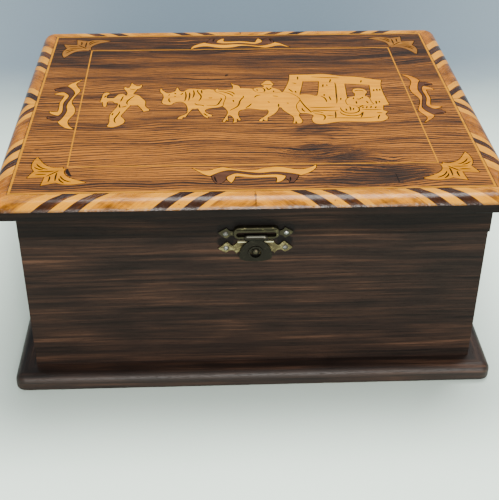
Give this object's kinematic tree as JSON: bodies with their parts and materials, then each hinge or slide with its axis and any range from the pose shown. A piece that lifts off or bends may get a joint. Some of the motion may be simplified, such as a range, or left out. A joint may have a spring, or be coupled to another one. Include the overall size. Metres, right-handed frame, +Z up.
{
  "type": "inlaid wooden box",
  "caption": "Rectangular wooden box with a hinged marquetry lid, striped rounded border, thick moulded base and a small nailed brass hasp.",
  "frame": {"origin": "middle of the underside of the base mouldings", "axes": "+X along the longer side (to the right seen from the hasp side), -Y the front with the hasp, +Z up"},
  "size_m": [0.2742, 0.2376, 0.1238],
  "materials": {
    "dark_moulding": "worn satin varnish",
    "dark_stained_wood": "worn satin varnish",
    "plain_panel_wood": "raw sanded",
    "brown_ground_veneer": "satin varnish",
    "light_wood": "satin varnish",
    "honey_wood": "satin varnish",
    "dark_strip_wood": "satin varnish",
    "dark_inlay_wood": "satin varnish",
    "light_inlay_wood": "satin varnish",
    "aged_brass": "tarnished",
    "aged_brass_dark": "dark patina",
    "steel_nail": "worn"
  },
  "bodies": {
    "case": {"base_moulding_front": "dark_moulding", "base_moulding_right": "dark_moulding", "base_moulding_back": "dark_moulding", "base_moulding_left": "dark_moulding", "bottom_panel": "plain_panel_wood", "wall_front": "dark_stained_wood", "wall_right": "dark_stained_wood", "wall_back": "dark_stained_wood", "wall_left": "dark_stained_wood", "latch_strike_plate": "aged_brass", "latch_strike_nails": "steel_nail", "hinge_case_leaves": "aged_brass", "hinge_case_nails": "steel_nail", "hinge_pins": "steel_nail"},
    "lid": {"lid_rail_front": "dark_stained_wood", "lid_rail_right": "dark_stained_wood", "lid_rail_back": "dark_stained_wood", "lid_rail_left": "dark_stained_wood", "lid_board": "dark_stained_wood", "lid_core_panel": "plain_panel_wood", "field_veneer": "brown_ground_veneer", "stringing_outer": "light_wood", "stringing_inner": "light_wood", "border_front_honey": "honey_wood", "border_front_light": "light_wood", "border_front_dark": "dark_strip_wood", "border_right_honey": "honey_wood", "border_right_light": "light_wood", "border_right_dark": "dark_strip_wood", "border_back_honey": "honey_wood", "border_back_light": "light_wood", "border_back_dark": "dark_strip_wood", "border_left_honey": "honey_wood", "border_left_light": "light_wood", "border_left_dark": "dark_strip_wood", "inlay_fan_1": "light_inlay_wood", "inlay_fan_2": "light_inlay_wood", "inlay_fan_3": "light_inlay_wood", "inlay_fan_4": "light_inlay_wood", "inlay_scroll_front": "light_inlay_wood", "inlay_scroll_right": "light_inlay_wood", "inlay_scroll_back": "light_inlay_wood", "inlay_scroll_left": "light_inlay_wood", "inlay_scroll_shade_front": "dark_inlay_wood", "inlay_scroll_shade_right": "dark_inlay_wood", "inlay_scroll_shade_back": "dark_inlay_wood", "inlay_scroll_shade_left": "dark_inlay_wood", "inlay_walker": "light_inlay_wood", "inlay_lead_ox": "light_inlay_wood", "inlay_rear_ox": "light_inlay_wood", "inlay_driver": "light_inlay_wood", "inlay_carriage": "light_inlay_wood", "inlay_passenger": "light_inlay_wood", "inlay_plugs": "dark_inlay_wood", "latch_loop_plate": "aged_brass", "latch_loop_nails": "steel_nail", "hinge_lid_leaves": "aged_brass", "hinge_lid_nails": "steel_nail"},
    "hasp": {"latch_tongue": "aged_brass_dark"}
  },
  "joints": [
    {"name": "lid_hinge", "type": "hinge", "parent": "case", "child": "lid", "pos_m": [0, 0.1094, 0.09552], "axis": [-1, 0, 0], "range_deg": [0, 150]},
    {"name": "hasp_pivot", "type": "hinge", "parent": "lid", "child": "hasp", "pos_m": [0, -0.10955, 0.0959], "axis": [-1, 0, 0], "range_deg": [0, 150]}
  ]
}
